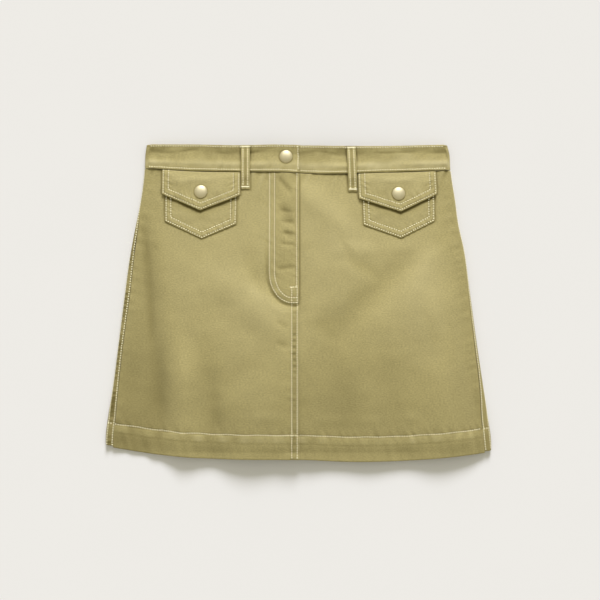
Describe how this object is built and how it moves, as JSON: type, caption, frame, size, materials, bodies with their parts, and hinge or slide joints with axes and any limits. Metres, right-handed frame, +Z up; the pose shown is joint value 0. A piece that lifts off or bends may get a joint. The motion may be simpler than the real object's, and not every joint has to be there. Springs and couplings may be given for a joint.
{
  "type": "cargo utility skirt",
  "caption": "A-line twill mini skirt laid flat, with a waistband, fly, belt loops, flapped patch pockets on the hips, domed snaps and a turned-up hem.",
  "frame": {"origin": "middle of the garment's outline seen from above, on the surface it lies on", "axes": "+X to the viewer's right, +Y up the garment from hem to waist, +Z up from the surface, out of the front"},
  "size_m": [0.4641, 0.3815, 0.0326],
  "materials": {
    "back_panel": "garment-washed cotton twill, matt",
    "belt_loop_back_centre": "garment-washed cotton twill, matt",
    "belt_loop_back_left": "garment-washed cotton twill, matt",
    "belt_loop_back_right": "garment-washed cotton twill, matt",
    "belt_loop_left": "garment-washed cotton twill, matt",
    "belt_loop_right": "garment-washed cotton twill, matt",
    "flap_left": "garment-washed cotton twill, matt",
    "flap_right": "garment-washed cotton twill, matt",
    "front_left": "garment-washed cotton twill, matt",
    "front_right": "garment-washed cotton twill, matt",
    "pocket_left": "garment-washed cotton twill, matt",
    "pocket_right": "garment-washed cotton twill, matt",
    "snap_left_cap": "pale gold plate, satin",
    "snap_left_stud": "pale gold plate, satin",
    "snap_right_cap": "pale gold plate, satin",
    "snap_right_stud": "pale gold plate, satin",
    "snap_waist_cap": "pale gold plate, satin",
    "snap_waist_stud": "pale gold plate, satin",
    "waistband": "garment-washed cotton twill, matt",
    "topstitch_thread": "cream polyester topstitching thread"
  },
  "bodies": {
    "root": {"back_panel": "back_panel", "belt_loop_back_centre": "belt_loop_back_centre", "belt_loop_back_left": "belt_loop_back_left", "belt_loop_back_right": "belt_loop_back_right", "belt_loop_left": "belt_loop_left", "belt_loop_right": "belt_loop_right", "flap_left": "flap_left", "flap_right": "flap_right", "front_left": "front_left", "front_right": "front_right", "pocket_left": "pocket_left", "pocket_right": "pocket_right", "snap_left_cap": "snap_left_cap", "snap_left_stud": "snap_left_stud", "snap_right_cap": "snap_right_cap", "snap_right_stud": "snap_right_stud", "snap_waist_cap": "snap_waist_cap", "snap_waist_stud": "snap_waist_stud", "waistband": "waistband"}
  },
  "joints": []
}
